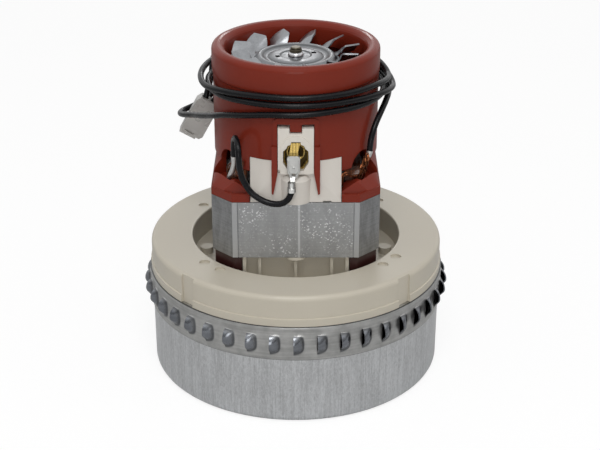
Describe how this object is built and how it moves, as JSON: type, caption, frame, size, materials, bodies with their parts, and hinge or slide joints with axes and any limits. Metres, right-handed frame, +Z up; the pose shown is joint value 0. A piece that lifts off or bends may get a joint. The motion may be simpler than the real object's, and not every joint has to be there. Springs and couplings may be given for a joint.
{
  "type": "vacuum motor unit",
  "caption": "Upright vacuum motor unit: pressed fan case with louvred exhaust band, moulded cover ring, open lamination stack and round housing with cooling fan and wound leads.",
  "frame": {"origin": "centre of the fan case's floor, on the shaft's axis", "axes": "+Z up the shaft towards the cooling fan, front brush towards -Y"},
  "size_m": [0.1526, 0.1526, 0.1639],
  "materials": {
    "galvanised": "satin, faint spangle",
    "band_steel": "satin",
    "cream_plastic": "semi-gloss",
    "guard_plastic": "matte",
    "laminations": "pressed edges, faint streaks",
    "coil_copper": "enamelled copper",
    "housing_plastic": "semi-matte, fine grain",
    "screw_steel": "zinc plated",
    "brass": "bright",
    "tinned_metal": "tinned",
    "lead_black": "semi-gloss insulation",
    "nylon_white": "slightly translucent",
    "carbon": "matte carbon",
    "bearing_steel": "ground",
    "fan_aluminium": "pressed, bright"
  },
  "bodies": {
    "motor_frame": {"fan_case": "galvanised", "louvre_band": "band_steel", "stage_guide": "band_steel", "cover_bracket": "cream_plastic", "lower_coil_guard": "guard_plastic", "stator_core": "laminations", "field_coil_left": "coil_copper", "field_coil_right": "coil_copper", "front_panel": "cream_plastic", "rear_panel": "cream_plastic", "motor_housing": "housing_plastic", "housing_screws": "screw_steel", "cover_screws": "screw_steel", "brush_holder_front": "cream_plastic", "brush_holder_rear": "cream_plastic", "brush_tube_front": "brass", "brush_tube_rear": "brass", "brush_clip_front": "brass", "brush_clip_rear": "brass", "terminal_front": "tinned_metal", "terminal_rear": "tinned_metal", "lead_splices": "tinned_metal", "jumper_lead_front": "lead_black", "jumper_lead_rear": "lead_black", "supply_lead_right": "lead_black", "supply_lead_left": "lead_black", "connector_shell": "nylon_white", "connector_contacts": "brass", "upper_bearing_race": "bearing_steel", "lower_bearing_race": "bearing_steel", "brush_spring_front": "screw_steel", "brush_spring_rear": "screw_steel"},
    "rotor": {"rotor_shaft": "bearing_steel", "armature_core": "laminations", "armature_winding": "coil_copper", "commutator": "brass", "upper_inner_race": "bearing_steel", "lower_inner_race": "bearing_steel", "cooling_fan": "fan_aluminium", "fan_nut": "screw_steel", "impeller_lower": "fan_aluminium", "impeller_upper": "fan_aluminium", "impeller_spacers": "screw_steel", "impeller_nut": "screw_steel"},
    "upper_cage": {"upper_ball_cage": "bearing_steel"},
    "lower_cage": {"lower_ball_cage": "bearing_steel"},
    "front_brush": {"carbon_brush_front": "carbon"},
    "rear_brush": {"carbon_brush_rear": "carbon"}
  },
  "joints": [
    {"name": "rotor_spin", "type": "hinge", "parent": "motor_frame", "child": "rotor", "pos_m": [0, 0, 0.1], "axis": [0, 0, 1], "continuous": true},
    {"name": "upper_cage_spin", "type": "hinge", "parent": "motor_frame", "child": "upper_cage", "pos_m": [0, 0, 0.1424], "axis": [0, 0, 1], "continuous": true},
    {"name": "lower_cage_spin", "type": "hinge", "parent": "motor_frame", "child": "lower_cage", "pos_m": [0, 0, 0.0589], "axis": [0, 0, 1], "continuous": true},
    {"name": "front_brush_slide", "type": "slide", "parent": "motor_frame", "child": "front_brush", "axis": [0, -1, 0], "range_m": [0, 0.004], "stiffness_N_per_m": 200, "springref_m": -0.01, "deforming": ["brush_spring_front"]},
    {"name": "rear_brush_slide", "type": "slide", "parent": "motor_frame", "child": "rear_brush", "axis": [0, 1, 0], "range_m": [0, 0.004], "stiffness_N_per_m": 200, "springref_m": -0.01, "deforming": ["brush_spring_rear"]}
  ],
  "couplings": [
    {"joint": "upper_cage_spin", "follows": "rotor_spin", "ratio": 0.38},
    {"joint": "lower_cage_spin", "follows": "rotor_spin", "ratio": 0.3722}
  ]
}
